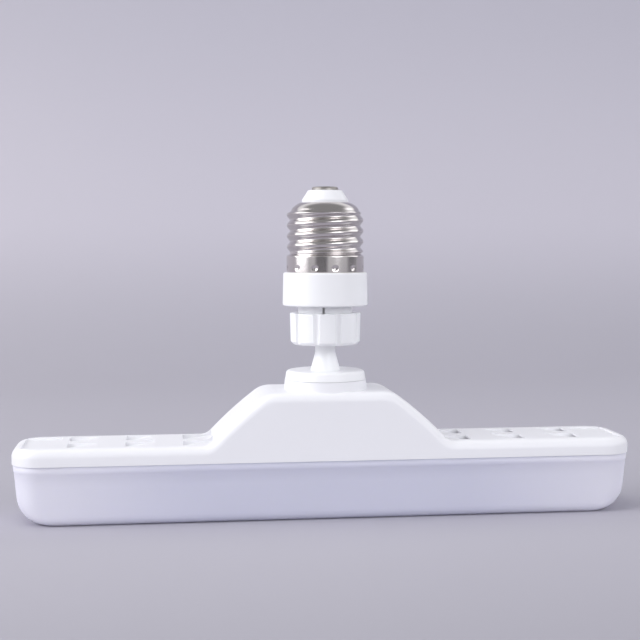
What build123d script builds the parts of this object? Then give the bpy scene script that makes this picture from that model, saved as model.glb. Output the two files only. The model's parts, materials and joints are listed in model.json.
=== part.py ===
from build123d import *
import math
import os

# LED T bulb: a screw cap above a ball joint, and a wide LED panel below it.
# Millimetres, +Z up. The origin is the centre of the diffuser's resting face,
# and +X runs along the panel.

# Panel, outside
panel_length = 210.0
panel_depth = 32.0
plan_corner_radius = 9.5
diffuser_height = 20.2
arm_height = 5.7
hump_rise = 17.0
hump_flat_length = 42.2
hump_slope_run = 19.2
hump_slope_bulge = 0.65
hump_crest_radius = 9.0
hump_foot_radius = 5.0
top_edge_radius = 3.0

# Panel, walls
housing_wall = 1.8
arm_roof = 3.4
diffuser_wall = 1.4
diffuser_inset = 0.4
diffuser_draft = 5.0
diffuser_long_edge_radius = 3.0
diffuser_end_radius = 9.0
diffuser_end_relief = 0.05
tongue_height = 1.6
tongue_thickness = 1.2
ledge_height = 1.6
rim_band_height = 2.5
rim_band_step = 0.3

# Louvres in the arms
louvre_pitch = 19.1
louvre_end_margin = 18.0
louvre_foot_margin = 8.0
louvre_length = 10.0
louvre_depth = 1.5
louvre_width = 22.0
louvre_rib_width = 5.0
louvre_slot_height = 0.9
louvre_slot_reach = 2.4
louvre_slot_sill = 0.6
end_recess_margin = 3.4
end_recess_length = 12.0
end_recess_depth = 0.6
dimple_end_margin = 45.0
dimple_radius = 1.5
dimple_depth = 0.8

# Ball joint and stem
boss_radius = 13.9
boss_height = 3.2
boss_draft = 6.0
flange_radius = 13.8
flange_thickness = 3.0
flange_draft = 6.0
flange_edge_radius = 1.2
stem_flare_radius = 5.1
stem_flare_height = 6.1
stem_radius = 3.43
stem_bore_radius = 1.95
stem_length = 15.2
ball_radius = 7.4
ball_mouth_radius = 5.1
spigot_radius = 7.0
spigot_tail = 2.0
retainer_thickness = 1.0
retainer_radius = 9.0
retainer_groove_depth = 0.9
retainer_opening = 8.0

# Socket, friction rings and lock nut
neck_radius = 9.2
neck_bore_radius = 7.6
neck_drop = 2.5
neck_slot_width = 0.7
neck_slot_count = 2
neck_slot_turn = -100.5
neck_slot_top_margin = 0.4
seat_drop = 3.0
seat_hole_radius = 4.6
clamp_ring_height = 2.0
clamp_key_height = 2.0
clamp_ring_mouth = 7.35
nut_height = 10.7
nut_top_radius = 12.1
nut_bottom_radius = 11.85
nut_lip = 1.5
nut_lip_radius = 7.6
nut_mouth_radius = 9.0
nut_groove_count = 10
nut_groove_radius = 1.3
nut_groove_depth = 0.85
nut_groove_turn = 32.4
nut_bottom_chamfer = 1.0
nut_top_edge_radius = 0.4

# Collar
collar_gap = 2.5
collar_height = 11.3
collar_floor = 3.0
collar_top_radius = 14.3
collar_bottom_radius = 14.55
collar_edge_radius = 0.6
sleeve_wall = 1.6
sleeve_height = 15.5
wire_channel_radius = 3.4

# Screw cap
shell_height = 23.6
shell_wall = 0.55
shell_skirt_radius = 13.2
shell_skirt_height = 5.6
shell_skirt_step = 1.15
shell_shoulder_step = 0.45
shell_shoulder_bend = 3.0
shell_lip = 0.6
thread_crest_height = 1.05
insulator_flange_margin = 2.6
insulator_flange_thickness = 1.1
insulator_flange_chamfer = 0.5
insulator_land_height = 0.9
insulator_top_radius = 5.8
insulator_height = 4.2
contact_radius = 4.5
contact_height = 1.2
contact_edge_radius = 0.7
contact_shank_radius = 1.4
contact_tail = 1.0

# LED board
led_board_thickness = 1.6
led_board_margin = 6.0
led_board_side_margin = 3.5
led_board_drop = 0.3
led_rows = 2
led_columns = 24
led_end_margin = 7.0
led_pitch_y = 11.0
led_length = 3.5
led_width = 2.8
led_height = 0.7
led_post_end_margin = 12.0
led_post_foot_margin = 15.7

# Driver board and what it carries
driver_board_length = 58.0
driver_board_thickness = 1.6
driver_board_lift = 7.0
driver_post_place = 24.5
capacitor_radius = 4.0
capacitor_length = 12.0
capacitor_place_x = 11.5
capacitor_place_y = 7.0
inductor_size = 9.0
inductor_height = 8.0
inductor_flange = 1.2
inductor_waist = 1.2
film_capacitor_length = 10.0
film_capacitor_width = 4.5
film_capacitor_height = 8.0
bridge_length = 5.0
bridge_width = 4.0
bridge_height = 2.4
chip_length = 5.0
chip_width = 4.0
chip_height = 1.6
fuse_radius = 1.6
fuse_length = 8.5
fuse_shift = 1.0

# Screws, leads and clearances
post_radius = 2.6
screw_radius = 1.1
screw_head_radius = 2.2
screw_head_height = 1.3
screw_grip = 2.0
lead_radius = 0.6
lead_pair_offset = 0.72
lead_gap_at_ball = 0.55
lead_bend_radius = 3.0
lead_pad_place = 5.0
lead_pad_rise = 3.6
neutral_bend_radius = 5.0
dc_lead_place = 4.0
solder_radius = 1.3
solder_height = 0.5
running_gap = 0.05
turning_gap = 0.1
assembly_gap = 0.15

# Heights and places worked out from the sizes above
seam_z = diffuser_height
arm_top = seam_z + arm_height
hump_top = arm_top + hump_rise
arm_ceiling = arm_top - arm_roof
hump_ceiling = hump_top - housing_wall
boss_top = hump_top + boss_height
flange_base = boss_top + turning_gap
flange_top = flange_base + flange_thickness
ball_z = flange_top + stem_length
neck_end = ball_z - neck_drop
clamp_top = neck_end - 2 * turning_gap
clamp_base = clamp_top - clamp_ring_height
lip_top = clamp_base - turning_gap
nut_base = lip_top - nut_lip
nut_top = nut_base + nut_height
collar_base = nut_top + collar_gap
collar_top = collar_base + collar_height
seat_base = ball_z + seat_drop
seat_top = ball_z + ball_radius + turning_gap
socket_roof = seat_top + turning_gap
sleeve_top = collar_top + sleeve_height
shell_top = collar_top + shell_height
cap_top = shell_top + insulator_height
led_board_top = seam_z - led_board_drop
led_board_base = led_board_top - led_board_thickness
driver_base = seam_z + driver_board_lift
driver_top = driver_base + driver_board_thickness
half_length = panel_length / 2
half_depth = panel_depth / 2
crest_x = hump_flat_length / 2
foot_x = crest_x + hump_slope_run
slope = math.atan2(hump_rise, hump_slope_run)
louvre_reach = half_length - louvre_end_margin
louvre_count = 1 + math.floor((louvre_reach - foot_x - louvre_foot_margin) / louvre_pitch)
louvre_steps = [louvre_reach - index * louvre_pitch for index in range(louvre_count)]
end_recess_place = half_length - end_recess_margin
dimple_place = half_length - dimple_end_margin
led_board_length = panel_length - 2 * led_board_margin
led_board_width = panel_depth - 2 * led_board_side_margin
led_pitch_x = (led_board_length - 2 * led_end_margin) / (led_columns - 1)
led_post_places = (foot_x + led_post_foot_margin, half_length - led_post_end_margin)

# Radii of the cap's nested parts, from the skirt inwards
shell_core_radius = shell_skirt_radius - shell_skirt_step
shell_band_radius = shell_core_radius + thread_crest_height / 2
shell_shoulder_radius = shell_core_radius - shell_shoulder_step
shell_mouth_radius = shell_shoulder_radius - shell_shoulder_bend - shell_lip
shell_bore = shell_core_radius - shell_wall
sleeve_radius = shell_bore - assembly_gap
insulator_flange_radius = shell_shoulder_radius - insulator_flange_margin
insulator_land_radius = shell_mouth_radius - turning_gap

os.makedirs("parts", exist_ok=True)


def ring_profile(*corners):
    """Closes a half outline, given as radius and height, for a revolve about Z."""
    with BuildSketch(Plane.XZ) as outline:
        with BuildLine():
            Polyline(*corners, close=True)
        make_face()
    return outline.sketch


# The space inside the housing, open downwards
inner_crest_x = crest_x - housing_wall * math.tan(slope / 2)
inner_foot_x = inner_crest_x + (hump_ceiling - arm_ceiling) / math.tan(slope)
inner_half_length = half_length - housing_wall
with BuildPart() as housing_cavity:
    with BuildSketch(Plane.XZ):
        with BuildLine():
            Polyline(
                (-inner_half_length, seam_z - 1),
                (-inner_half_length, arm_ceiling),
                (-inner_foot_x, arm_ceiling),
                (-inner_crest_x, hump_ceiling),
                (inner_crest_x, hump_ceiling),
                (inner_foot_x, arm_ceiling),
                (inner_half_length, arm_ceiling),
                (inner_half_length, seam_z - 1),
                close=True,
            )
        make_face()
    extrude(amount=half_depth - housing_wall, both=True)
    fillet(housing_cavity.edges().filter_by(Axis.Z), radius=plan_corner_radius - housing_wall)

# Screw posts under both boards, which end at the cavity's ceiling
led_posts = [(side * x, 0) for side in (-1, 1) for x in led_post_places]
driver_posts = [(side * driver_post_place, 0) for side in (-1, 1)]
with BuildPart() as board_posts:
    with BuildSketch(Plane.XY.offset(led_board_top)):
        with Locations(*led_posts):
            Circle(post_radius)
    extrude(amount=hump_rise)
    with BuildSketch(Plane.XY.offset(driver_top)):
        with Locations(*driver_posts):
            Circle(post_radius)
    extrude(amount=hump_rise)
    add(housing_cavity.part, mode=Mode.INTERSECT)
    with BuildSketch(Plane.XY.offset(led_board_top)):
        with Locations(*led_posts):
            Circle(screw_radius + running_gap)
    extrude(amount=screw_grip + assembly_gap, mode=Mode.SUBTRACT)
    with BuildSketch(Plane.XY.offset(driver_top)):
        with Locations(*driver_posts):
            Circle(screw_radius + running_gap)
    extrude(amount=screw_grip + assembly_gap, mode=Mode.SUBTRACT)

# Housing: the T-shaped upper casing with its hump, boss and louvred arms
with BuildPart() as housing:
    with BuildSketch(Plane.XZ) as side_view:
        with BuildLine():
            Polyline((-crest_x, hump_top), (crest_x, hump_top))
            SagittaArc((crest_x, hump_top), (foot_x, arm_top), hump_slope_bulge)
            Polyline(
                (foot_x, arm_top),
                (half_length, arm_top),
                (half_length, seam_z),
                (-half_length, seam_z),
                (-half_length, arm_top),
                (-foot_x, arm_top),
            )
            SagittaArc((-foot_x, arm_top), (-crest_x, hump_top), hump_slope_bulge)
        make_face()
        crests = side_view.vertices().filter_by(lambda v: abs(abs(v.X) - crest_x) < 0.1)
        fillet(crests, radius=hump_crest_radius)
        feet = side_view.vertices().filter_by(lambda v: abs(abs(v.X) - foot_x) < 0.1)
        fillet(feet, radius=hump_foot_radius)
    extrude(amount=half_depth, both=True)
    fillet(housing.edges().filter_by(Axis.Z), radius=plan_corner_radius)
    upper = housing.edges().filter_by(Axis.Z, reverse=True)
    upper = upper.filter_by(lambda e: e.center().Z > seam_z + top_edge_radius / 2)
    rim = upper.filter_by(
        lambda e: abs(e.center().Y) > 0.1 or abs(e.center().X) > half_length - 0.1
    )
    fillet(rim, radius=top_edge_radius)
    boss_root = boss_height + housing_wall
    with BuildSketch(Plane.XY.offset(hump_ceiling)):
        Circle(boss_radius + boss_root * math.tan(math.radians(boss_draft)))
    extrude(amount=boss_root, taper=boss_draft)
    add(housing_cavity.part, mode=Mode.SUBTRACT)
    add(board_posts.part)
    with BuildSketch(Plane.XY.offset(hump_ceiling)):
        Circle(spigot_radius + running_gap)
    extrude(amount=boss_root, mode=Mode.SUBTRACT)
    pocket_width = (louvre_width - louvre_rib_width) / 2
    for side in (-1, 1):
        for step in louvre_steps:
            for pocket_start in (louvre_rib_width / 2, -louvre_width / 2):
                with BuildSketch(Plane.XZ.offset(pocket_start)):
                    with BuildLine():
                        Polyline(
                            (side * (step - louvre_length), arm_top + 2),
                            (side * (step - louvre_length), arm_top),
                            (side * step, arm_top - louvre_depth),
                            (side * (step + louvre_slot_sill), arm_top - louvre_depth),
                            (side * (step + louvre_slot_sill), arm_ceiling - 0.2),
                            (side * (step + louvre_slot_reach), arm_ceiling - 0.2),
                            (
                                side * (step + louvre_slot_reach),
                                arm_top - louvre_depth + louvre_slot_height,
                            ),
                            (side * step, arm_top - louvre_depth + louvre_slot_height),
                            (side * step, arm_top + 2),
                            close=True,
                        )
                    make_face()
                extrude(amount=pocket_width, mode=Mode.SUBTRACT)
        with BuildSketch(Plane.XY.offset(arm_top)):
            with Locations((side * (end_recess_place - end_recess_length / 2), 0)):
                Rectangle(end_recess_length, louvre_width)
        extrude(amount=-end_recess_depth, mode=Mode.SUBTRACT)
    with BuildSketch(Plane.XY.offset(arm_top)):
        with Locations((-dimple_place, 0), (dimple_place, 0)):
            Circle(dimple_radius)
    extrude(amount=-dimple_depth, mode=Mode.SUBTRACT)
housing.part.label = "housing"
export_step(housing.part, "parts/housing.step")


def bowl(inset, top):
    """The diffuser's outer form, or its inner form when inset by the wall."""
    lean = math.tan(math.radians(diffuser_draft))
    end_x = half_length - diffuser_inset - inset
    side_y = half_depth - diffuser_inset - inset
    depth = seam_z - inset
    with BuildPart() as form:
        with BuildSketch(Plane.XY.offset(top)):
            RectangleRounded(
                2 * (end_x + (top - seam_z) * lean),
                2 * (side_y + (top - seam_z) * lean),
                plan_corner_radius - inset,
            )
        extrude(amount=inset - top, taper=diffuser_draft)
        foot = form.edges().group_by(Axis.Z)[0]
        fillet(foot, radius=diffuser_long_edge_radius - inset)
        bowl_foot_x = end_x - depth * lean + diffuser_end_relief
        bowl_top_x = bowl_foot_x + (top + 1 - inset) * lean
        with BuildSketch(Plane.XZ) as length_view:
            with BuildLine():
                Polyline(
                    (-bowl_foot_x, inset),
                    (bowl_foot_x, inset),
                    (bowl_top_x, top + 1),
                    (-bowl_top_x, top + 1),
                    close=True,
                )
            make_face()
            fillet(
                length_view.vertices().group_by(Axis.Y)[0],
                radius=diffuser_end_radius - inset,
            )
        extrude(amount=half_depth, both=True, mode=Mode.INTERSECT)
    return form.part


# Diffuser: a translucent tray whose foot is rounded further at its ends
with BuildPart() as diffuser:
    add(bowl(0, seam_z))
    with BuildSketch(Plane.XY.offset(seam_z)):
        RectangleRounded(
            panel_length - 2 * diffuser_inset + 2 * rim_band_step,
            panel_depth - 2 * diffuser_inset + 2 * rim_band_step,
            plan_corner_radius,
        )
    extrude(amount=-rim_band_height, taper=diffuser_draft)
    add(bowl(diffuser_wall, seam_z + 1), mode=Mode.SUBTRACT)
    tongue_inset = housing_wall + assembly_gap
    tongue_length = panel_length - 2 * tongue_inset
    tongue_width = panel_depth - 2 * tongue_inset
    tongue_corner = plan_corner_radius - tongue_inset
    with BuildSketch(Plane.XY.offset(seam_z - ledge_height)):
        RectangleRounded(
            panel_length - 2 * diffuser_wall,
            panel_depth - 2 * diffuser_wall,
            plan_corner_radius - diffuser_wall,
        )
        RectangleRounded(
            tongue_length - 2 * tongue_thickness,
            tongue_width - 2 * tongue_thickness,
            tongue_corner - tongue_thickness,
            mode=Mode.SUBTRACT,
        )
    extrude(amount=ledge_height)
    with BuildSketch(Plane.XY.offset(seam_z)):
        RectangleRounded(tongue_length, tongue_width, tongue_corner)
        RectangleRounded(
            tongue_length - 2 * tongue_thickness,
            tongue_width - 2 * tongue_thickness,
            tongue_corner - tongue_thickness,
            mode=Mode.SUBTRACT,
        )
    extrude(amount=tongue_height)
diffuser.part.label = "diffuser"
export_step(diffuser.part, "parts/diffuser.step")

# Ball stem: ball, tapered hollow stem, flange and spigot in one moulding
flange_rise_radius = flange_radius - flange_thickness * math.tan(math.radians(flange_draft))
groove_top = hump_ceiling - turning_gap
groove_base = groove_top - retainer_thickness - running_gap
groove_radius = spigot_radius - retainer_groove_depth
mouth_z = ball_z + math.sqrt(ball_radius**2 - ball_mouth_radius**2)
ball_foot_z = ball_z - math.sqrt(ball_radius**2 - stem_radius**2)
with BuildPart() as ball_stem:
    with BuildSketch(Plane.XZ):
        with BuildLine():
            Polyline(
                (stem_radius, ball_foot_z),
                (stem_radius, flange_top + stem_flare_height),
                (stem_flare_radius, flange_top),
                (flange_rise_radius - flange_edge_radius, flange_top),
            )
            ThreePointArc(
                (flange_rise_radius - flange_edge_radius, flange_top),
                (
                    flange_rise_radius - flange_edge_radius * (1 - math.sin(math.pi / 4)),
                    flange_top - flange_edge_radius * (1 - math.cos(math.pi / 4)),
                ),
                (flange_rise_radius, flange_top - flange_edge_radius),
            )
            Polyline(
                (flange_rise_radius, flange_top - flange_edge_radius),
                (flange_radius, flange_base),
                (spigot_radius, flange_base),
                (spigot_radius, groove_top),
                (groove_radius, groove_top),
                (groove_radius, groove_base),
                (spigot_radius, groove_base),
                (spigot_radius, hump_ceiling - spigot_tail),
                (stem_bore_radius, hump_ceiling - spigot_tail),
                (stem_bore_radius, ball_z),
                (ball_mouth_radius, mouth_z),
            )
            ThreePointArc(
                (ball_mouth_radius, mouth_z),
                (ball_radius, ball_z),
                (stem_radius, ball_foot_z),
            )
        make_face()
    revolve(axis=Axis.Z)
ball_stem.part.label = "ball_stem"
export_step(ball_stem.part, "parts/ball_stem.step")

# Retaining ring: an open spring ring under the housing's roof
with BuildPart() as stem_retainer:
    with BuildSketch(Plane.XY.offset(groove_top - retainer_thickness)):
        Circle(retainer_radius)
        Circle(groove_radius + running_gap, mode=Mode.SUBTRACT)
        with Locations((0, -retainer_radius)):
            Rectangle(retainer_opening, 2 * (retainer_radius - groove_radius / 2), mode=Mode.SUBTRACT)
    extrude(amount=retainer_thickness)
stem_retainer.part.label = "stem_retainer"
export_step(stem_retainer.part, "parts/stem_retainer.step")

# Collar socket: the collar under the cap, the sleeve inside the cap and the ball's neck
sleeve_bore = sleeve_radius - sleeve_wall
slot_top = collar_base - neck_slot_top_margin
with BuildPart() as collar_socket:
    add(
        ring_profile(
            (wire_channel_radius, socket_roof),
            (neck_bore_radius, socket_roof),
            (neck_bore_radius, neck_end),
            (neck_radius, neck_end),
            (neck_radius, collar_base),
            (collar_bottom_radius, collar_base),
            (collar_top_radius, collar_top),
            (sleeve_radius, collar_top),
            (sleeve_radius, sleeve_top),
            (sleeve_bore, sleeve_top),
            (sleeve_bore, collar_base + collar_floor),
            (wire_channel_radius, collar_base + collar_floor),
        )
    )
    revolve(axis=Axis.Z)
    outer = collar_socket.edges().filter_by(GeomType.CIRCLE)
    outer = outer.filter_by(lambda e: e.radius > (collar_top_radius + sleeve_radius) / 2)
    fillet(outer, radius=collar_edge_radius)
    with BuildSketch(Plane.XY.offset(neck_end)):
        with PolarLocations(neck_radius, neck_slot_count, start_angle=neck_slot_turn):
            Rectangle(2 * (neck_radius - neck_bore_radius) + 1, neck_slot_width)
    extrude(amount=slot_top - neck_end, mode=Mode.SUBTRACT)
collar_socket.part.label = "collar_socket"
export_step(collar_socket.part, "parts/collar_socket.step")

# Seat ring: the upper friction ring, dished to the ball
with BuildPart() as seat_ring:
    with BuildSketch(Plane.XY.offset(seat_base)):
        Circle(neck_bore_radius - running_gap)
        Circle(seat_hole_radius, mode=Mode.SUBTRACT)
    extrude(amount=seat_top - seat_base)
    with Locations((0, 0, ball_z)):
        Sphere(ball_radius + running_gap, mode=Mode.SUBTRACT)
seat_ring.part.label = "seat_ring"
export_step(seat_ring.part, "parts/seat_ring.step")

# Clamp ring: holds the ball from below, keyed into the neck's slots
clamp_contact = math.sqrt(ball_radius**2 - (ball_z - clamp_top) ** 2) + running_gap
clamp_radius = neck_radius - turning_gap
key_width = neck_slot_width - 2 * turning_gap
with BuildPart() as clamp_ring:
    add(
        ring_profile(
            (clamp_contact, clamp_top),
            (clamp_radius, clamp_top),
            (clamp_radius, clamp_base),
            (clamp_ring_mouth, clamp_base),
        )
    )
    revolve(axis=Axis.Z)
    with BuildSketch(Plane.XY.offset(clamp_top)) as keys:
        with PolarLocations(0, neck_slot_count, start_angle=neck_slot_turn):
            Rectangle(2 * neck_radius, key_width)
        Circle(clamp_radius, mode=Mode.INTERSECT)
        Circle(neck_bore_radius + turning_gap, mode=Mode.SUBTRACT)
    extrude(amount=clamp_key_height)
clamp_ring.part.label = "clamp_ring"
export_step(clamp_ring.part, "parts/clamp_ring.step")

# Lock nut: fluted outside, with a lip that lifts the clamp ring
nut_bore = neck_radius + running_gap
with BuildPart() as lock_nut:
    add(
        ring_profile(
            (nut_bore, nut_top),
            (nut_top_radius, nut_top),
            (nut_bottom_radius, nut_base + nut_bottom_chamfer),
            (nut_bottom_radius - nut_bottom_chamfer, nut_base),
            (nut_mouth_radius, nut_base),
            (nut_lip_radius, lip_top),
            (nut_bore, lip_top),
        )
    )
    revolve(axis=Axis.Z)
    top_rim = lock_nut.edges().filter_by(GeomType.CIRCLE)
    top_rim = top_rim.group_by(Axis.Z)[-1].sort_by(SortBy.RADIUS)[-1]
    fillet(top_rim, radius=nut_top_edge_radius)
    groove_place = nut_top_radius - nut_groove_depth + nut_groove_radius
    with BuildSketch(Plane.XY.offset(nut_base)):
        with PolarLocations(groove_place, nut_groove_count, start_angle=nut_groove_turn):
            Circle(nut_groove_radius)
    extrude(amount=nut_height, mode=Mode.SUBTRACT)
lock_nut.part.label = "lock_nut"
export_step(lock_nut.part, "parts/lock_nut.step")

# Screw shell: a plain band at the mean radius of its rolled thread, above a skirt
shoulder_z = shell_top - shell_shoulder_bend
shoulder_x = shell_shoulder_radius - shell_shoulder_bend
shoulder_foot_z = shoulder_z - (shell_band_radius - shell_shoulder_radius)
diagonal = math.sin(math.pi / 4)
inner_bend = shell_shoulder_bend - shell_wall
skirt_top_z = collar_top + shell_skirt_height
with BuildPart() as screw_shell:
    with BuildSketch(Plane.XZ):
        with BuildLine():
            Polyline(
                (shell_bore, collar_top),
                (shell_skirt_radius, collar_top),
                (shell_skirt_radius, skirt_top_z),
                (shell_band_radius, skirt_top_z + shell_skirt_radius - shell_band_radius),
                (shell_band_radius, shoulder_foot_z),
                (shell_shoulder_radius, shoulder_z),
            )
            ThreePointArc(
                (shell_shoulder_radius, shoulder_z),
                (
                    shoulder_x + shell_shoulder_bend * diagonal,
                    shoulder_z + shell_shoulder_bend * diagonal,
                ),
                (shoulder_x, shell_top),
            )
            Polyline(
                (shoulder_x, shell_top),
                (shell_mouth_radius, shell_top),
                (shell_mouth_radius, shell_top - shell_wall),
                (shoulder_x, shell_top - shell_wall),
            )
            ThreePointArc(
                (shoulder_x, shell_top - shell_wall),
                (shoulder_x + inner_bend * diagonal, shoulder_z + inner_bend * diagonal),
                (shoulder_x + inner_bend, shoulder_z),
            )
            Polyline(
                (shoulder_x + inner_bend, shoulder_z),
                (shell_bore, shoulder_foot_z),
                (shell_bore, collar_top),
            )
        make_face()
    revolve(axis=Axis.Z)
screw_shell.part.label = "screw_shell"
export_step(screw_shell.part, "parts/screw_shell.step")

# Cap insulator: the cone between the shell and the centre contact
insulator_base = shell_top - shell_wall - insulator_flange_thickness
shank_bore = contact_shank_radius + running_gap
with BuildPart() as cap_insulator:
    add(
        ring_profile(
            (shank_bore, insulator_base),
            (insulator_flange_radius, insulator_base),
            (insulator_flange_radius, shell_top - shell_wall - insulator_flange_chamfer),
            (insulator_flange_radius - insulator_flange_chamfer, shell_top - shell_wall),
            (insulator_land_radius, shell_top - shell_wall),
            (insulator_land_radius, shell_top + insulator_land_height),
            (insulator_top_radius, cap_top),
            (shank_bore, cap_top),
        )
    )
    revolve(axis=Axis.Z)
cap_insulator.part.label = "cap_insulator"
export_step(cap_insulator.part, "parts/cap_insulator.step")

# Centre contact: a rivet through the insulator
shank_end = insulator_base - contact_tail
with BuildPart() as centre_contact:
    with BuildSketch(Plane.XY.offset(cap_top)):
        Circle(contact_radius)
    extrude(amount=contact_height)
    contact_rim = centre_contact.edges().group_by(Axis.Z)[-1]
    fillet(contact_rim, radius=contact_edge_radius)
    with BuildSketch(Plane.XY.offset(shank_end)):
        Circle(contact_shank_radius)
    extrude(amount=cap_top - shank_end)
centre_contact.part.label = "centre_contact"
export_step(centre_contact.part, "parts/centre_contact.step")

# LED board, its chips and its screws
with BuildPart() as led_board:
    with BuildSketch(Plane.XY.offset(led_board_base)):
        Rectangle(led_board_length, led_board_width)
        with Locations(*led_posts):
            Circle(screw_radius + assembly_gap, mode=Mode.SUBTRACT)
        with Locations((-dc_lead_place, 0), (dc_lead_place, 0)):
            Circle(lead_radius + assembly_gap, mode=Mode.SUBTRACT)
    extrude(amount=led_board_thickness)
    corners = led_board.edges().filter_by(Axis.Z).filter_by(GeomType.LINE)
    corners = corners.filter_by(lambda e: abs(e.center().Y) > led_board_width / 2 - 0.1)
    fillet(corners, radius=tongue_corner - tongue_thickness)
led_board.part.label = "led_board"
export_step(led_board.part, "parts/led_board.step")

with BuildPart() as led_chips:
    with BuildSketch(Plane.XY.offset(led_board_base - led_height)):
        with GridLocations(led_pitch_x, led_pitch_y, led_columns, led_rows):
            Rectangle(led_length, led_width)
    extrude(amount=led_height)
led_chips.part.label = "led_chips"
export_step(led_chips.part, "parts/led_chips.step")

with BuildPart() as led_board_screws:
    with BuildSketch(Plane.XY.offset(led_board_base - screw_head_height)):
        with Locations(*led_posts):
            Circle(screw_head_radius)
    extrude(amount=screw_head_height)
    with BuildSketch(Plane.XY.offset(led_board_base)):
        with Locations(*led_posts):
            Circle(screw_radius)
    extrude(amount=led_board_thickness + screw_grip)
led_board_screws.part.label = "led_board_screws"
export_step(led_board_screws.part, "parts/led_board_screws.step")

# Driver board and its screws
with BuildPart() as driver_board:
    with BuildSketch(Plane.XY.offset(driver_base)):
        Rectangle(driver_board_length, led_board_width)
        with Locations(*driver_posts):
            Circle(screw_radius + assembly_gap, mode=Mode.SUBTRACT)
    extrude(amount=driver_board_thickness)
driver_board.part.label = "driver_board"
export_step(driver_board.part, "parts/driver_board.step")

with BuildPart() as driver_board_screws:
    with BuildSketch(Plane.XY.offset(driver_base - screw_head_height)):
        with Locations(*driver_posts):
            Circle(screw_head_radius)
    extrude(amount=screw_head_height)
    with BuildSketch(Plane.XY.offset(driver_base)):
        with Locations(*driver_posts):
            Circle(screw_radius)
    extrude(amount=driver_board_thickness + screw_grip)
driver_board_screws.part.label = "driver_board_screws"
export_step(driver_board_screws.part, "parts/driver_board_screws.step")

# Two electrolytic capacitors, laid flat
capacitor_names = {-1: "input_capacitor", 1: "output_capacitor"}
for side, capacitor_name in capacitor_names.items():
    can_start = side * capacitor_place_x - capacitor_length / 2
    can_centre = (can_start, capacitor_place_y, driver_top + capacitor_radius)
    with BuildPart() as capacitor:
        with BuildSketch(Plane(origin=can_centre, x_dir=(0, 1, 0), z_dir=(1, 0, 0))):
            Circle(capacitor_radius)
        extrude(amount=capacitor_length)
    capacitor.part.label = capacitor_name
    export_step(capacitor.part, f"parts/{capacitor_name}.step")

# Inductor: a bobbin between two flanges
with BuildPart() as inductor:
    with BuildSketch(Plane.XY.offset(driver_top)):
        with Locations((capacitor_place_x, -capacitor_place_y)):
            RectangleRounded(inductor_size, inductor_size, inductor_flange)
    extrude(amount=inductor_flange)
    with BuildSketch(Plane.XY.offset(driver_top + inductor_flange)):
        with Locations((capacitor_place_x, -capacitor_place_y)):
            Circle(inductor_size / 2 - inductor_waist / 2)
    extrude(amount=inductor_height - 2 * inductor_flange)
    with BuildSketch(Plane.XY.offset(driver_top + inductor_height - inductor_flange)):
        with Locations((capacitor_place_x, -capacitor_place_y)):
            RectangleRounded(inductor_size, inductor_size, inductor_flange)
    extrude(amount=inductor_flange)
inductor.part.label = "inductor"
export_step(inductor.part, "parts/inductor.step")

# Square-cornered components: name, centre, length, width, height
boxes = (
    (
        "film_capacitor",
        (-capacitor_place_x, -capacitor_place_y),
        (film_capacitor_length, film_capacitor_width, film_capacitor_height),
    ),
    (
        "bridge_rectifier",
        (-2 * capacitor_place_x, capacitor_place_y),
        (bridge_length, bridge_width, bridge_height),
    ),
    (
        "driver_ic",
        (2 * capacitor_place_x, capacitor_place_y),
        (chip_length, chip_width, chip_height),
    ),
)
for box_name, (box_x, box_y), (box_length, box_width, box_height) in boxes:
    with BuildPart() as component:
        with BuildSketch(Plane.XY.offset(driver_top)):
            with Locations((box_x, box_y)):
                Rectangle(box_length, box_width)
        extrude(amount=box_height)
    component.part.label = box_name
    export_step(component.part, f"parts/{box_name}.step")

# Fuse resistor: a small barrel across the board's end
fuse_start = (
    -2 * capacitor_place_x,
    -capacitor_place_y - fuse_shift - fuse_length / 2,
    driver_top + fuse_radius,
)
with BuildPart() as fuse_resistor:
    with BuildSketch(Plane(origin=fuse_start, z_dir=(0, 1, 0))):
        Circle(fuse_radius)
    extrude(amount=fuse_length)
fuse_resistor.part.label = "fuse_resistor"
export_step(fuse_resistor.part, "parts/fuse_resistor.step")

# Leads from the cap to the ball's centre
with BuildPart() as cap_live_lead:
    with BuildSketch(Plane.XY.offset(ball_z + lead_gap_at_ball)):
        with Locations((lead_pair_offset, 0)):
            Circle(lead_radius)
    extrude(amount=shank_end - ball_z - lead_gap_at_ball)
cap_live_lead.part.label = "cap_live_lead"
export_step(cap_live_lead.part, "parts/cap_live_lead.step")

neutral_z = sleeve_top + lead_radius + assembly_gap
with BuildPart() as cap_neutral_lead:
    with BuildLine() as neutral_path:
        FilletPolyline(
            (-lead_pair_offset, 0, ball_z + lead_gap_at_ball),
            (-lead_pair_offset, 0, neutral_z),
            (-shell_bore + running_gap, 0, neutral_z),
            radius=neutral_bend_radius,
        )
    with BuildSketch(Plane(origin=neutral_path.line @ 0, z_dir=neutral_path.line % 0)):
        Circle(lead_radius)
    sweep(path=neutral_path.line)
cap_neutral_lead.part.label = "cap_neutral_lead"
export_step(cap_neutral_lead.part, "parts/cap_neutral_lead.step")

# Leads from the ball's centre to the driver board
driver_leads = {1: "driver_live_lead", -1: "driver_neutral_lead"}
for side, lead_name in driver_leads.items():
    with BuildPart() as driver_lead:
        with BuildLine() as lead_path:
            FilletPolyline(
                (side * lead_pair_offset, 0, ball_z - lead_gap_at_ball),
                (side * lead_pair_offset, 0, driver_top + lead_pad_rise + lead_pad_place),
                (side * lead_pad_place, 0, driver_top + lead_pad_rise),
                (side * lead_pad_place, 0, driver_top),
                radius=lead_bend_radius,
            )
        with BuildSketch(Plane(origin=lead_path.line @ 0, z_dir=lead_path.line % 0)):
            Circle(lead_radius)
        sweep(path=lead_path.line)
    driver_lead.part.label = lead_name
    export_step(driver_lead.part, f"parts/{lead_name}.step")

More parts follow.
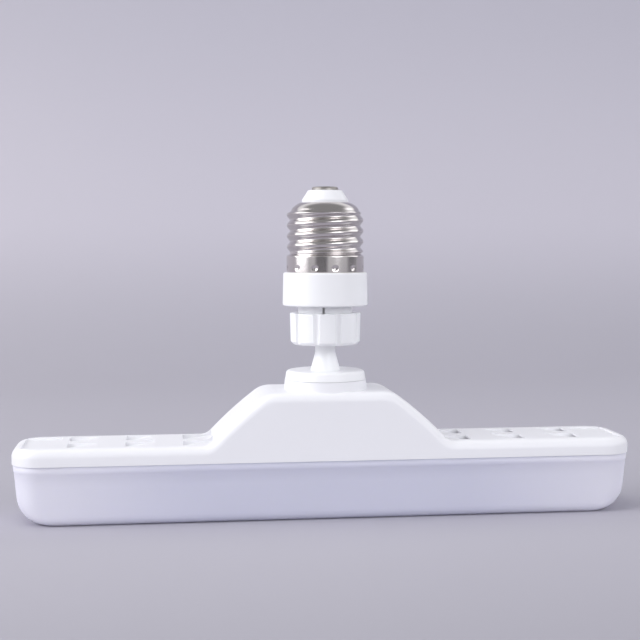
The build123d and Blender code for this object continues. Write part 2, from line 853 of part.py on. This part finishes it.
# Leads from the driver board down to the LED board, soldered on its chip side
dc_leads = {1: "dc_positive_lead", -1: "dc_negative_lead"}
for side, lead_name in dc_leads.items():
    with BuildPart() as dc_lead:
        with BuildSketch(Plane.XY.offset(led_board_base)):
            with Locations((side * dc_lead_place, 0)):
                Circle(lead_radius)
        extrude(amount=driver_base - led_board_base)
        with BuildSketch(Plane.XY.offset(led_board_base - solder_height)):
            with Locations((side * dc_lead_place, 0)):
                Circle(solder_radius)
        extrude(amount=solder_height)
    dc_lead.part.label = lead_name
    export_step(dc_lead.part, f"parts/{lead_name}.step")
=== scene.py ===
import json
import math

import bpy
from mathutils import Matrix, Vector


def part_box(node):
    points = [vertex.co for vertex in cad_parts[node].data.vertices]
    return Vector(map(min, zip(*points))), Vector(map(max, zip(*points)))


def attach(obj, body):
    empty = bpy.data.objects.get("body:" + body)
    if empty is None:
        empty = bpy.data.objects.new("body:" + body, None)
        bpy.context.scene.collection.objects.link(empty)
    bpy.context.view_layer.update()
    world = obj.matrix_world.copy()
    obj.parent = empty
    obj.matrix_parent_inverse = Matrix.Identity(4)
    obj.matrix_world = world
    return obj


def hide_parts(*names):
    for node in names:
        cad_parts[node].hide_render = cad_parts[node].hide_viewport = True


# LED T bulb standing on its diffuser, cap up, on a pale paper sweep.
# Metres, in the frame's own axes: +X along the panel, +Z up.
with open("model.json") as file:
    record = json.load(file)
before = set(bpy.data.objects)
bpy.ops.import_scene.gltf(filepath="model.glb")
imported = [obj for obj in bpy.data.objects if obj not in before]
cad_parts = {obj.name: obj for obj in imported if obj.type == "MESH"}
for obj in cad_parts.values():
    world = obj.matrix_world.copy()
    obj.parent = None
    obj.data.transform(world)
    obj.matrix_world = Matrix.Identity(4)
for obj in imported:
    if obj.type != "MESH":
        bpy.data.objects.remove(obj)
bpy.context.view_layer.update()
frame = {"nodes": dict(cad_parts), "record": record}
nodes = frame["nodes"]
MM = 0.001

# Camera, from a pinhole fit to the photograph
IMAGE_SIZE = 640
FOCAL_PIXELS = 1268.0
SENSOR_MM = 36.0
AXIS_DISTANCE = 433.5 * MM
CAMERA_HEIGHT = 92.6 * MM
AXIS_SHIFT = 1.77 * MM
YAW_DEG = 7.1
PITCH_DEG = 3.48
ROLL_DEG = -0.10
CLIP_START = 0.01
CLIP_END = 50

# Screw shell
SHELL_WALL = 0.55 * MM
SKIRT_STEP = 1.15 * MM
SKIRT_HEIGHT = 5.5 * MM
SKIRT_EDGE_HEIGHT = 0.9 * MM
SHOULDER_STEP = 0.45 * MM
SHOULDER_BEND = 3.0 * MM
SHELL_LIP = 0.6 * MM
SHOULDER_FALL = 1.9
THREAD_PITCH = 3.629 * MM
THREAD_HEIGHT = 1.05 * MM
THREAD_FOOT = 6.2 * MM
THREAD_END = 20.9 * MM
THREAD_FADE = 0.9 * MM
THREAD_PHASE = 14.1 * MM
THREAD_SIDE_DEG = -7.3
THREAD_FULLNESS = 0.85
CRIMP_COUNT = 12
CRIMP_TURN_DEG = 7.7
CRIMP_RADIUS = 0.95 * MM
CRIMP_DEPTH = 0.35 * MM
CRIMP_LIFT = 1.5 * MM
CRIMP_SLOPE_SHARE = 0.7
SHELL_TURN_STEPS = 240
SKIRT_ROWS = 24
SKIRT_EDGE_ROWS = 5
THREAD_ROWS = 90
BEND_ROWS = 10

# Diffuser
DIFFUSER_INSET = 0.4 * MM
DIFFUSER_DRAFT_DEG = 5.0
DIFFUSER_WALL = 1.4 * MM
PLAN_CORNER = 9.5 * MM
CORNER_CUT_PARTS = 6
END_ROUND = 9.0 * MM
SIDE_ROUND = 3.0 * MM
RIM_BAND_HEIGHT = 2.5 * MM
RIM_BAND_STEP = 0.12 * MM
RIM_BAND_EDGE = 0.15 * MM
TONGUE_HEIGHT = 1.6 * MM
# Painted light on the diffuser: its colour turns lighter between these distances off the centre
END_LIGHT_FROM = 40 * MM
END_LIGHT_TO = 112 * MM
CORNER_STEPS = 14
EDGE_STEPS = 12

# Paper sweep
SWEEP_WIDTH = 8.0
SWEEP_FRONT = -3.0
SWEEP_BACK = 1.1
SWEEP_BEND = 0.7
SWEEP_HEIGHT = 1.1
SWEEP_STEPS = 24

# Light levels
SKY_LEVEL = 1.09
SKY_COLOUR = (0.95, 0.955, 0.99, 1)
HORIZON_LEVEL = 0.65
HORIZON_RISE = 0.17
KEY_WATTS = 3.2
TOP_WATTS = 2.6

# Sockets of the colour mix node
MIX_SHARE = 0
MIX_FIRST = 6
MIX_SECOND = 7
MIX_RESULT = 2

# Surface grain
BROAD_SCALE = 35.0
CLOUD_SCALE = 45.0
PAPER_SCALE = 3.0
SKIN_SCALE = 900.0
SKIN_DETAIL = 4.0
SKIN_STRENGTH = 0.02
SKIN_DEPTH = 0.1 * MM


def new_material(name):
    """An empty node material; gives the material, its nodes and its links."""
    material = bpy.data.materials.new(name)
    material.use_nodes = True
    tree = material.node_tree
    tree.nodes.clear()
    return material, tree.nodes, tree.links


def shader(tree_nodes, links, **sockets):
    """A Principled shader wired to a new output, with its plain sockets set."""
    output = tree_nodes.new("ShaderNodeOutputMaterial")
    principled = tree_nodes.new("ShaderNodeBsdfPrincipled")
    for name, value in sockets.items():
        principled.inputs[name.replace("_", " ")].default_value = value
    links.new(principled.outputs[0], output.inputs[0])
    return principled


def noise(tree_nodes, links, scale, detail=3.0):
    """Noise on the object's own coordinates, in metres."""
    place = tree_nodes.new("ShaderNodeTexCoord")
    texture = tree_nodes.new("ShaderNodeTexNoise")
    texture.inputs["Scale"].default_value = scale
    texture.inputs["Detail"].default_value = detail
    texture.inputs["Roughness"].default_value = 0.5
    links.new(place.outputs["Object"], texture.inputs["Vector"])
    return texture.outputs[0]


def coordinates(tree_nodes, links, kind):
    """The X, Y and Z sockets of a texture coordinate."""
    place = tree_nodes.new("ShaderNodeTexCoord")
    split = tree_nodes.new("ShaderNodeSeparateXYZ")
    links.new(place.outputs[kind], split.inputs[0])
    return split.outputs


def spread(tree_nodes, links, source, low, high, start=0.3, end=0.7):
    """Maps the range from start to end smoothly onto low to high."""
    ramp = tree_nodes.new("ShaderNodeMapRange")
    ramp.interpolation_type = "SMOOTHSTEP"
    ramp.inputs["From Min"].default_value = start
    ramp.inputs["From Max"].default_value = end
    ramp.inputs["To Min"].default_value = low
    ramp.inputs["To Max"].default_value = high
    links.new(source, ramp.inputs["Value"])
    return ramp.outputs["Result"]


def combine(tree_nodes, links, operation, *sources):
    """The result of a maths node on the given sockets."""
    sum_node = tree_nodes.new("ShaderNodeMath")
    sum_node.operation = operation
    for index, source in enumerate(sources):
        links.new(source, sum_node.inputs[index])
    return sum_node.outputs[0]


def colour_mix(tree_nodes, links, share, first, second, blend="MIX"):
    """Blends two colours by a share; each may be a socket or a plain value."""
    mix = tree_nodes.new("ShaderNodeMix")
    mix.data_type = "RGBA"
    mix.blend_type = blend
    for index, value in ((MIX_SHARE, share), (MIX_FIRST, first), (MIX_SECOND, second)):
        if isinstance(value, bpy.types.NodeSocket):
            links.new(value, mix.inputs[index])
        elif isinstance(value, tuple):
            mix.inputs[index].default_value = (*value, 1)
        else:
            mix.inputs[index].default_value = value
    return mix.outputs[MIX_RESULT]


def uneven_skin(tree_nodes, links, principled, strength, scale):
    """Fine relief in the surface."""
    skin = tree_nodes.new("ShaderNodeBump")
    skin.inputs["Strength"].default_value = strength
    skin.inputs["Distance"].default_value = SKIN_DEPTH
    links.new(noise(tree_nodes, links, scale, SKIN_DETAIL), skin.inputs["Height"])
    links.new(skin.outputs[0], principled.inputs["Normal"])


def plastic(name, first, second, rough_low, rough_high, bump=SKIN_STRENGTH, scale=SKIN_SCALE, **sockets):
    """Moulded plastic: faint mottling, an uneven gloss and a fine moulded skin."""
    material, tree_nodes, links = new_material(name)
    principled = shader(tree_nodes, links, **sockets)
    broad = noise(tree_nodes, links, BROAD_SCALE)
    colour = colour_mix(tree_nodes, links, broad, first, second)
    links.new(colour, principled.inputs["Base Color"])
    rough = spread(tree_nodes, links, broad, rough_low, rough_high)
    links.new(rough, principled.inputs["Roughness"])
    uneven_skin(tree_nodes, links, principled, bump, scale)
    return material


def metal(name, first, second, rough_low, rough_high, bump=0.05, scale=600.0):
    """Plated or bare metal with smears in its gloss and fine scratches."""
    return plastic(name, first, second, rough_low, rough_high, bump, scale, Metallic=1.0)


def milky_plastic():
    """Translucent lavender plastic with painted light: lighter towards the tray's ends, where no board
    backs it.
    """
    material, tree_nodes, links = new_material("diffuser_plastic")
    principled = shader(
        tree_nodes,
        links,
        Subsurface_Weight=0.35,
        Subsurface_Radius=(1, 1, 1.2),
        Subsurface_Scale=4 * MM,
    )
    along = coordinates(tree_nodes, links, "Object")["X"]
    off_centre = combine(tree_nodes, links, "ABSOLUTE", along)
    # Painted light: the colour turns lighter towards both ends of the tray
    painted_end_light = spread(tree_nodes, links, off_centre, 0.0, 1.0, END_LIGHT_FROM, END_LIGHT_TO)
    body = colour_mix(tree_nodes, links, painted_end_light, (0.635, 0.64, 0.78), (0.80, 0.79, 0.91))
    clouds = noise(tree_nodes, links, CLOUD_SCALE)
    cloud_tint = colour_mix(tree_nodes, links, clouds, (0.98, 0.98, 0.98), (1, 1, 1))
    colour = colour_mix(tree_nodes, links, 1.0, body, cloud_tint, "MULTIPLY")
    links.new(colour, principled.inputs["Base Color"])
    gloss = spread(tree_nodes, links, clouds, 0.44, 0.48)
    links.new(gloss, principled.inputs["Roughness"])
    uneven_skin(tree_nodes, links, principled, SKIN_STRENGTH, SKIN_SCALE)
    return material


# Materials by slot; the neck's pieces and the contact have looks of their own
neck_white = plastic("neck_plastic", (0.88, 0.885, 0.90), (0.895, 0.90, 0.915), 0.33, 0.37)
contact_metal = metal("contact_metal", (0.55, 0.52, 0.49), (0.20, 0.19, 0.18), 0.25, 0.55, 0.4)
looks = {
    "nickel_plate": metal("nickel_plate", (0.74, 0.71, 0.69), (0.60, 0.56, 0.55), 0.08, 0.20),
    "cap_insulator": plastic("insulator_plastic", (0.84, 0.84, 0.87), (0.87, 0.87, 0.89), 0.30, 0.40),
    "white_plastic": plastic("white_plastic", (0.835, 0.835, 0.865), (0.855, 0.855, 0.885), 0.38, 0.42),
    "diffuser": milky_plastic(),
    "friction_ring": plastic("friction_ring", (0.80, 0.80, 0.78), (0.84, 0.84, 0.82), 0.4, 0.5),
    "spring_steel": metal("spring_steel", (0.4, 0.4, 0.42), (0.35, 0.35, 0.36), 0.2, 0.35),
    "board_metal": plastic("board_metal", (0.8, 0.8, 0.8), (0.85, 0.85, 0.85), 0.3, 0.4),
    "led_chip": plastic("led_chip", (0.85, 0.65, 0.1), (0.9, 0.7, 0.15), 0.2, 0.3),
    "screw_steel": metal("screw_steel", (0.5, 0.5, 0.5), (0.45, 0.45, 0.46), 0.2, 0.35),
    "board_laminate": plastic("board_laminate", (0.02, 0.2, 0.06), (0.03, 0.25, 0.08), 0.3, 0.4),
    "black_plastic": plastic("black_plastic", (0.02, 0.02, 0.02), (0.03, 0.03, 0.03), 0.3, 0.5),
    "capacitor_sleeve": plastic("capacitor_sleeve", (0.02, 0.02, 0.05), (0.03, 0.03, 0.07), 0.2, 0.3),
    "ferrite": plastic("ferrite", (0.05, 0.05, 0.05), (0.08, 0.08, 0.08), 0.5, 0.6),
    "film_box": plastic("film_box", (0.5, 0.25, 0.02), (0.55, 0.28, 0.03), 0.3, 0.4),
    "resistor_body": plastic("resistor_body", (0.1, 0.3, 0.5), (0.12, 0.33, 0.55), 0.3, 0.4),
    "lead_brown": plastic("lead_brown", (0.12, 0.05, 0.02), (0.14, 0.06, 0.03), 0.4, 0.5),
    "lead_blue": plastic("lead_blue", (0.03, 0.1, 0.5), (0.04, 0.12, 0.55), 0.4, 0.5),
    "lead_red": plastic("lead_red", (0.5, 0.02, 0.02), (0.55, 0.03, 0.03), 0.4, 0.5),
    "lead_black": plastic("lead_black", (0.02, 0.02, 0.02), (0.03, 0.03, 0.03), 0.4, 0.5),
}
own_looks = {
    "collar_socket": neck_white,
    "lock_nut": neck_white,
    "ball_stem": neck_white,
    "centre_contact": contact_metal,
}
slots = {part["node"]: part["material_slot"] for part in frame["record"]["subparts"]}
for name, node in nodes.items():
    node.data.materials.clear()
    node.data.materials.append(own_looks.get(name, looks[slots[name]]))


def smooth_step(value, width):
    """Rises smoothly from 0 to 1 as value goes from 0 to width."""
    share = min(max(value / width, 0), 1)
    return share * share * (3 - 2 * share)


def ring_mesh(name, rings, body, slot, stands_for, closed_loop=False, caps=False):
    """A smooth skin over rings of equally many points; the last ring joins the first if asked."""
    count = len(rings[0])
    points = [point for ring in rings for point in ring]
    faces = []
    spans = len(rings) if closed_loop else len(rings) - 1
    for row in range(spans):
        here = row * count
        above = (row + 1) % len(rings) * count
        for step in range(count):
            after = (step + 1) % count
            faces.append((here + step, here + after, above + after, above + step))
    if caps:
        faces.append(tuple(range(count))[::-1])
        faces.append(tuple(range((len(rings) - 1) * count, len(rings) * count)))
    mesh = bpy.data.meshes.new(name)
    mesh.from_pydata(points, [], faces)
    mesh.update()
    mesh.polygons.foreach_set("use_smooth", [True] * len(mesh.polygons))
    piece = bpy.data.objects.new(name, mesh)
    bpy.context.scene.collection.objects.link(piece)
    mesh.materials.append(looks[slot])
    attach(piece, body)
    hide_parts(stands_for)
    return piece


# Screw shell with its rolled right-hand thread and crimped skirt
shell_low, shell_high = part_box("screw_shell")
skirt_radius = (shell_high.x - shell_low.x) / 2
shell_foot = shell_low.z
shell_top = shell_high.z
core_radius = skirt_radius - SKIRT_STEP
shoulder_radius = core_radius - SHOULDER_STEP
shoulder_z = shell_top - SHOULDER_BEND
shoulder_foot = shoulder_z - SHOULDER_STEP
bend_x = shoulder_radius - SHOULDER_BEND


def shell_outside():
    """Radius and height up the outside of the shell's wall, from its foot to its lip."""
    profile = [(skirt_radius, shell_foot)]
    for row in range(1, SKIRT_ROWS + 1):
        profile.append((skirt_radius, shell_foot + SKIRT_HEIGHT * row / SKIRT_ROWS))
    for row in range(1, SKIRT_EDGE_ROWS + 1):
        share = row / SKIRT_EDGE_ROWS
        drop = SKIRT_STEP * smooth_step(share, 1)
        profile.append((skirt_radius - drop, shell_foot + SKIRT_HEIGHT + SKIRT_EDGE_HEIGHT * share))
    start = profile[-1][1]
    for row in range(1, THREAD_ROWS + 1):
        profile.append((core_radius, start + (shoulder_foot - start) * row / THREAD_ROWS))
    for row in range(BEND_ROWS + 1):
        turn = math.pi / 2 * row / BEND_ROWS
        bulge = max(math.cos(turn), 0) ** SHOULDER_FALL
        profile.append((bend_x + SHOULDER_BEND * bulge, shoulder_z + SHOULDER_BEND * math.sin(turn)))
    return profile


def shell_inside():
    """Radius and height over the shell's lip and down the inside of its wall."""
    mouth_radius = bend_x - SHELL_LIP
    profile = [(mouth_radius, shell_top), (mouth_radius, shell_top - SHELL_WALL)]
    inner_bend = SHOULDER_BEND - SHELL_WALL
    for row in range(BEND_ROWS + 1):
        turn = math.pi / 2 * (1 - row / BEND_ROWS)
        profile.append((bend_x + inner_bend * math.cos(turn), shoulder_z + inner_bend * math.sin(turn)))
    bore = core_radius - SHELL_WALL
    profile += [(bore, shoulder_foot), (bore, shell_foot)]
    return profile


def thread_rise(height, turn_deg):
    """How far the rolled thread stands off the core at a height over the foot and an angle."""
    coil = (height - THREAD_PHASE) / THREAD_PITCH - (turn_deg - THREAD_SIDE_DEG) / 360
    wave = 0.5 + 0.5 * math.cos(2 * math.pi * coil)
    fade = smooth_step(height - THREAD_FOOT, THREAD_FADE) * smooth_step(THREAD_END - height, THREAD_FADE)
    return THREAD_HEIGHT * wave**THREAD_FULLNESS * fade


def crimp_dip(height, turn_deg):
    """Depth of the crimped dimples in the skirt."""
    spacing = 360 / CRIMP_COUNT
    off_turn = (turn_deg - CRIMP_TURN_DEG + spacing / 2) % spacing - spacing / 2
    across = math.radians(off_turn) * skirt_radius
    distance = math.hypot(across, height - CRIMP_LIFT)
    return CRIMP_DEPTH * smooth_step(CRIMP_RADIUS - distance, CRIMP_SLOPE_SHARE * CRIMP_RADIUS)


def shell_ring(radius, height, relief):
    """One ring of the shell, with the thread and the crimps where relief is wanted."""
    points = []
    for step in range(SHELL_TURN_STEPS):
        turn_deg = 360 * step / SHELL_TURN_STEPS
        reach = radius
        if relief:
            lift = height - shell_foot
            swell = thread_rise(lift, turn_deg) - crimp_dip(lift, turn_deg)
            reach += min(swell, skirt_radius - radius)
        turn = math.radians(turn_deg)
        points.append((reach * math.cos(turn), reach * math.sin(turn), height))
    return points


shell_rings = [shell_ring(radius, height, True) for radius, height in shell_outside()]
shell_rings += [shell_ring(radius, height, False) for radius, height in shell_inside()]
ring_mesh("rolled_shell", shell_rings, "cap", "nickel_plate", "screw_shell", closed_loop=True)

# Diffuser: a tray with a rim band under the seam and a foot rounded further at its ends
housing_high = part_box("housing")[1]
seam_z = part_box("diffuser")[1].z - TONGUE_HEIGHT
half_length = housing_high.x
half_depth = housing_high.y
lean = math.tan(math.radians(DIFFUSER_DRAFT_DEG))


def round_cut(round_radius, height, inset):
    """How far a rounded foot draws the wall in at a height."""
    inner_round = round_radius - inset
    dip = max(inner_round - (height - inset), 0)
    return inner_round - math.sqrt(max(inner_round**2 - dip**2, 0))


def bowl_ring(height, inset, proud=0.0):
    """The tray's outline at a height: a rounded rectangle, as points in order."""
    leaned = (seam_z - height) * lean + DIFFUSER_INSET + inset - proud
    end_cut = round_cut(END_ROUND, height, inset)
    side_cut = round_cut(SIDE_ROUND, height, inset)
    half_x = half_length - leaned - end_cut
    half_y = half_depth - leaned - side_cut
    corner = PLAN_CORNER - leaned - (end_cut + side_cut) / CORNER_CUT_PARTS
    points = []
    for quarter, (side_x, side_y) in enumerate(((1, 1), (-1, 1), (-1, -1), (1, -1))):
        for step in range(CORNER_STEPS + 1):
            turn = math.pi / 2 * (quarter + step / CORNER_STEPS)
            x = side_x * (half_x - corner) + corner * math.cos(turn)
            y = side_y * (half_y - corner) + corner * math.sin(turn)
            points.append((x, y, height))
    return points


def foot_heights(round_radius, base):
    """Heights down the foot's round, closer together towards the bottom."""
    turns = [math.pi / 2 * row / EDGE_STEPS for row in range(EDGE_STEPS + 1)]
    return [base + round_radius * (1 - math.sin(turn)) for turn in turns]


band_foot = seam_z - RIM_BAND_HEIGHT
middle_height = (band_foot + END_ROUND) / 2
outer_heights = [band_foot - RIM_BAND_EDGE, middle_height] + foot_heights(END_ROUND, 0)
inner_heights = [seam_z, middle_height] + foot_heights(END_ROUND - DIFFUSER_WALL, DIFFUSER_WALL)
bowl_rings = [bowl_ring(height, 0) for height in reversed(outer_heights)]
bowl_rings.append(bowl_ring(band_foot, 0, RIM_BAND_STEP / 2))
bowl_rings.append(bowl_ring(band_foot + RIM_BAND_EDGE, 0, RIM_BAND_STEP))
bowl_rings.append(bowl_ring(seam_z, 0, RIM_BAND_STEP))
bowl_rings += [bowl_ring(height, DIFFUSER_WALL) for height in inner_heights]
ring_mesh("milky_tray", bowl_rings, "panel", "diffuser", "diffuser", caps=True)


def paper_material():
    """Pale paper with painted light and shade: lighter up the wall's foot and to the left, darker high
    up and towards the camera.
    """
    material, tree_nodes, links = new_material("paper")
    principled = shader(tree_nodes, links, Roughness=0.7)
    grain = noise(tree_nodes, links, PAPER_SCALE)
    place = coordinates(tree_nodes, links, "Object")
    colour = colour_mix(tree_nodes, links, grain, (0.440, 0.427, 0.482), (0.448, 0.435, 0.490))
    # Painted light and shade multiplied into the paper's colour: lighter at the wall's foot and to the
    # left, darker high up and by the camera
    painted_light_wall_foot = spread(tree_nodes, links, place["Z"], 0.0, 1.0, 0.0, 0.12)
    painted_light_leftward = spread(tree_nodes, links, place["X"], 1.0, 0.0, -0.45, 0.05)
    painted_shade_high_up = spread(tree_nodes, links, place["Z"], 0.0, 1.0, 0.1, 0.42)
    painted_shade_by_camera = spread(tree_nodes, links, place["Y"], 1.0, 0.0, -0.22, -0.03)
    painted_light_and_shade = (
        (painted_light_wall_foot, (1.24, 1.23, 1.23)),
        (painted_light_leftward, (1.07, 1.06, 1.04)),
        (painted_shade_high_up, (0.86, 0.87, 0.88)),
        (painted_shade_by_camera, (0.80, 0.80, 0.80)),
    )
    for share, tint in painted_light_and_shade:
        colour = colour_mix(tree_nodes, links, share, colour, tint, "MULTIPLY")
    links.new(colour, principled.inputs["Base Color"])
    return material


def paper_sweep():
    """Floor and backdrop in one bent sheet."""
    bend_start = SWEEP_BACK - SWEEP_BEND
    side = [(SWEEP_FRONT, 0.0), (bend_start, 0.0)]
    for step in range(1, SWEEP_STEPS + 1):
        turn = math.pi / 2 * step / SWEEP_STEPS
        side.append((bend_start + SWEEP_BEND * math.sin(turn), SWEEP_BEND * (1 - math.cos(turn))))
    side.append((SWEEP_BACK, SWEEP_HEIGHT))
    points = [(edge * SWEEP_WIDTH / 2, y, z) for y, z in side for edge in (-1, 1)]
    faces = [(2 * i, 2 * i + 1, 2 * i + 3, 2 * i + 2) for i in range(len(side) - 1)]
    mesh = bpy.data.meshes.new("paper_sweep")
    mesh.from_pydata(points, [], faces)
    mesh.polygons.foreach_set("use_smooth", [True] * len(mesh.polygons))
    mesh.materials.append(paper_material())
    sweep = bpy.data.objects.new("paper_sweep", mesh)
    bpy.context.scene.collection.objects.link(sweep)


paper_sweep()

# Round patches in the sky, which the nickel mirrors: azimuth, elevation, inner and outer
# radius in degrees, and the level each adds
SKY_PATCHES = {
    "left window": (182, 14, 18, 36, 2.8),
    "front window": (-60, 20, 10, 22, 3.2),
    "right window": (5, 24, 10, 26, 1.0),
    "dark ceiling": (-97, 75, 38, 58, -0.76),
    "dark by the camera": (-108, 6, 12, 24, -0.88),
    "dark on the right": (-8, 2, 12, 24, -0.88),
}


def studio_sky():
    """An even glow with softer and darker patches, dimmer towards the horizon."""
    world = bpy.data.worlds.new("studio")
    bpy.context.scene.world = world
    world.use_nodes = True
    sky_nodes = world.node_tree.nodes
    links = world.node_tree.links
    view = sky_nodes.new("ShaderNodeTexCoord").outputs["Generated"]
    base_level = sky_nodes.new("ShaderNodeValue")
    base_level.outputs[0].default_value = SKY_LEVEL
    glow = base_level.outputs[0]
    for azimuth_deg, elevation_deg, inner_deg, outer_deg, level in SKY_PATCHES.values():
        azimuth = math.radians(azimuth_deg)
        elevation = math.radians(elevation_deg)
        toward = sky_nodes.new("ShaderNodeVectorMath")
        toward.operation = "DOT_PRODUCT"
        toward.inputs[1].default_value = (
            math.cos(elevation) * math.cos(azimuth),
            math.cos(elevation) * math.sin(azimuth),
            math.sin(elevation),
        )
        links.new(view, toward.inputs[0])
        outer = math.cos(math.radians(outer_deg))
        inner = math.cos(math.radians(inner_deg))
        patch = spread(sky_nodes, links, toward.outputs["Value"], 0.0, level, outer, inner)
        glow = combine(sky_nodes, links, "ADD", glow, patch)
    height = coordinates(sky_nodes, links, "Generated")["Z"]
    horizon = spread(sky_nodes, links, height, HORIZON_LEVEL, 1.0, 0.0, HORIZON_RISE)
    glow = combine(sky_nodes, links, "MULTIPLY", glow, horizon)
    background = sky_nodes["Background"]
    background.inputs["Color"].default_value = SKY_COLOUR
    links.new(glow, background.inputs["Strength"])


def softbox(name, place, width, height, watts, mirrored=True):
    """A rectangular light that faces the object, and shows in the nickel if mirrored."""
    light = bpy.data.lights.new(name, "AREA")
    light.shape = "RECTANGLE"
    light.size = width
    light.size_y = height
    light.energy = watts
    lamp = bpy.data.objects.new(name, light)
    bpy.context.scene.collection.objects.link(lamp)
    lamp.visible_glossy = mirrored
    lamp.location = place
    target = Vector((0, 0, 50 * MM))
    lamp.rotation_euler = (target - Vector(place)).to_track_quat("-Z", "Y").to_euler()


studio_sky()
softbox("key_left", (-0.9, -0.30, 0.70), 0.6, 0.6, KEY_WATTS)
softbox("top", (-0.25, -0.1, 1.2), 0.8, 0.6, TOP_WATTS, mirrored=False)


def photo_camera():
    """The camera at the photograph's place and angle."""
    yaw = math.radians(YAW_DEG)
    pitch = math.radians(PITCH_DEG)
    roll = math.radians(ROLL_DEG)
    across = Vector((math.cos(yaw), -math.sin(yaw), 0))
    away = Vector((math.sin(yaw), math.cos(yaw), 0))
    forward = away * math.cos(pitch) - Vector((0, 0, math.sin(pitch)))
    upward = away * math.sin(pitch) + Vector((0, 0, math.cos(pitch)))
    right = across * math.cos(roll) + upward * math.sin(roll)
    top = upward * math.cos(roll) - across * math.sin(roll)
    camera_data = bpy.data.cameras.new("camera")
    camera_data.sensor_width = SENSOR_MM
    camera_data.lens = FOCAL_PIXELS / IMAGE_SIZE * SENSOR_MM
    camera_data.clip_start = CLIP_START
    camera_data.clip_end = CLIP_END
    camera = bpy.data.objects.new("camera", camera_data)
    bpy.context.scene.collection.objects.link(camera)
    facing = Matrix((right, top, -forward)).transposed().to_4x4()
    place = -across * AXIS_SHIFT - away * AXIS_DISTANCE + Vector((0, 0, CAMERA_HEIGHT))
    camera.matrix_world = Matrix.Translation(place) @ facing
    bpy.context.scene.camera = camera


photo_camera()
bpy.context.scene.view_settings.view_transform = "Standard"
